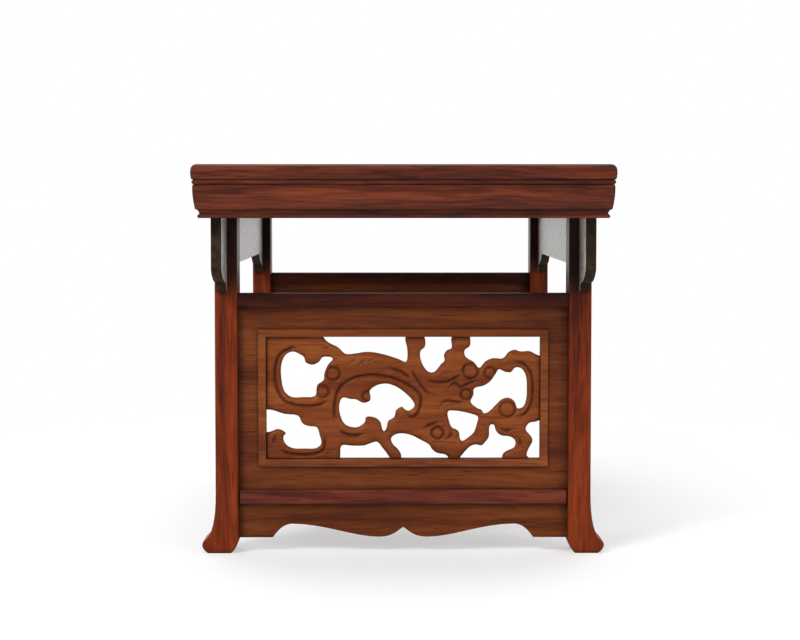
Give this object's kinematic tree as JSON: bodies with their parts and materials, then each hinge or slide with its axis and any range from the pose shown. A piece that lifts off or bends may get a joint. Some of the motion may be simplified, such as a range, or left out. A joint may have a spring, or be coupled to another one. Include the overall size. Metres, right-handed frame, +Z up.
{
  "type": "miniature altar table",
  "caption": "Miniature recessed-leg altar table with a mitred frame top, aprons, flared feet and openwork dragon end panels.",
  "frame": {"origin": "centre of the footprint, on the surface that the feet stand on", "axes": "+Z up, Y along the table's length with the pictured end at -Y, X across its depth"},
  "size_m": [0.1612, 0.32, 0.155],
  "materials": {
    "top_wood": "waxed reddish-brown hardwood",
    "leg_wood": "waxed red hardwood",
    "rail_wood": "waxed dark purple-red hardwood",
    "board_wood": "waxed golden-brown hardwood",
    "apron_wood": "dark hardwood, dry and pale on its inner face",
    "under_wood": "unfinished hardwood"
  },
  "bodies": {
    "root": {"top_frame_side_left": "top_wood", "top_frame_side_right": "top_wood", "top_frame_end_near": "top_wood", "top_frame_end_far": "top_wood", "top_panel": "top_wood", "brace_1": "under_wood", "brace_2": "under_wood", "brace_3": "under_wood", "apron_left": "apron_wood", "apron_right": "apron_wood", "leg_near_left": "leg_wood", "leg_near_right": "leg_wood", "leg_far_left": "leg_wood", "leg_far_right": "leg_wood", "spandrel_near_left": "apron_wood", "spandrel_near_right": "apron_wood", "spandrel_far_left": "apron_wood", "spandrel_far_right": "apron_wood", "upper_rail_near": "rail_wood", "upper_rail_far": "rail_wood", "lower_rail_near": "rail_wood", "lower_rail_far": "rail_wood", "openwork_panel_near": "board_wood", "openwork_panel_far": "board_wood", "cusped_board_near": "board_wood", "cusped_board_far": "board_wood"}
  },
  "joints": []
}
